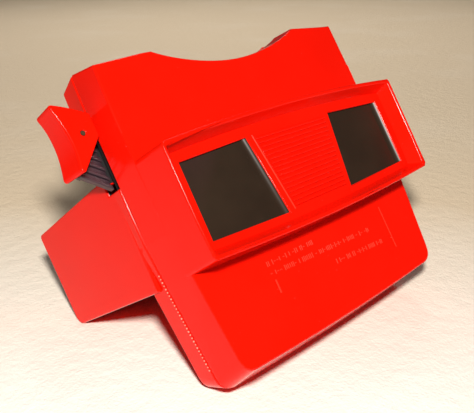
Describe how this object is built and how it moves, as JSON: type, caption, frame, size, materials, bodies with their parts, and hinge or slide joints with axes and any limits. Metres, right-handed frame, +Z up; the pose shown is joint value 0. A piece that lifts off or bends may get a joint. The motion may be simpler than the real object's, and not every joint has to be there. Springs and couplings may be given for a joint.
{
  "type": "stereo picture viewer",
  "caption": "Hand-held stereo viewer for picture reels: two-part moulded case with a projecting window visor, an eyepiece box, a top slot for the reel and a sprung thumb lever.",
  "frame": {"origin": "on the floor under the centre of the overall box, with the viewer leaning back on the rear edge of its eyepiece box and the rear foot of its slab", "axes": "+X across the viewer to the viewer's right as seen from the window side, which is also the lever's pivot side, -Y the way the windows face, +Y the eye side, +Z up"},
  "size_m": [0.1202, 0.0982, 0.094],
  "materials": {
    "red_plastic": "glossy moulded red plastic with light handling wear",
    "black_plastic": "satin black moulded plastic",
    "dark_plastic": "matt black, non-reflecting",
    "smoked_plastic": "smoked translucent plastic, glossy",
    "lens_plastic": "clear polished lens",
    "steel": "plain steel"
  },
  "bodies": {
    "viewer": {"front_shell": "red_plastic", "rear_shell": "red_plastic", "window_left": "smoked_plastic", "light_tunnel_left": "dark_plastic", "eye_tunnel_left": "dark_plastic", "lens_left": "lens_plastic", "lens_ring_left": "black_plastic", "eye_hood_left": "black_plastic", "window_right": "smoked_plastic", "light_tunnel_right": "dark_plastic", "eye_tunnel_right": "dark_plastic", "lens_right": "lens_plastic", "lens_ring_right": "black_plastic", "eye_hood_right": "black_plastic", "front_gate_plate": "dark_plastic", "rear_gate_plate": "dark_plastic", "lever_pivot_pin": "steel", "lever_clip": "steel", "lever_spring": "steel"},
    "lever": {"lever_arm": "black_plastic", "thumb_paddle": "red_plastic", "paddle_pin": "steel", "pawl_pin": "steel"},
    "pawl": {"advance_pawl": "black_plastic"}
  },
  "joints": [
    {"name": "lever_pivot", "type": "hinge", "parent": "viewer", "child": "lever", "pos_m": [0.05223, -0.00246, 0.04799], "axis": [0, -0.8259, 0.5638], "range_deg": [0, 9], "stiffness_Nm_per_rad": 0.15, "springref_deg": -28.65, "deforming": ["lever_spring"]},
    {"name": "pawl_hinge", "type": "hinge", "parent": "lever", "child": "pawl", "pos_m": [-0.00327, 0.00492, 0.05313], "axis": [-1, 0, 0], "range_deg": [0, 15]}
  ],
  "couplings": [
    {"joint": "pawl_hinge", "follows": "lever_pivot", "ratio": 1.6666}
  ]
}
